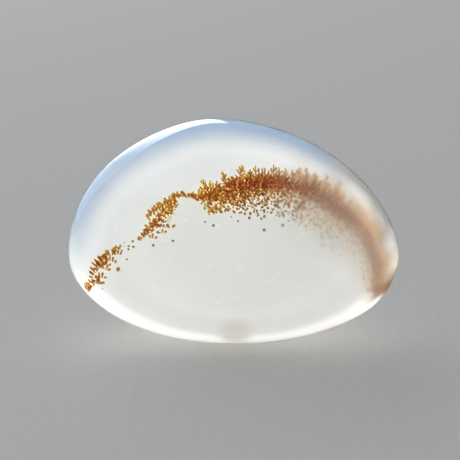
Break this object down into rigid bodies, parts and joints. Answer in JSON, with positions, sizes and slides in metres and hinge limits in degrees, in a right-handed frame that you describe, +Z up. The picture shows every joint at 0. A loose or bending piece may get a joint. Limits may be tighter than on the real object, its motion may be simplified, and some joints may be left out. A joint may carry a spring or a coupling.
{
  "type": "dendritic agate specimen",
  "caption": "Polished oval pebble of milky, see-through dendritic agate with an arc of fern-like brown growths inside, standing on its long edge on a small ground flat.",
  "frame": {"origin": "on the surface that the stone rests on, under the middle of its length and thickness", "axes": "+X along the stone's length, +Y through its thickness from the front face to the back face, +Z up from the ground flat to the crest"},
  "size_m": [0.03, 0.0122, 0.0206],
  "materials": {
    "stone": "polished, translucent",
    "dendrites": "matt, enclosed in the stone"
  },
  "bodies": {
    "root": {"agate_stone": "stone"}
  },
  "joints": []
}
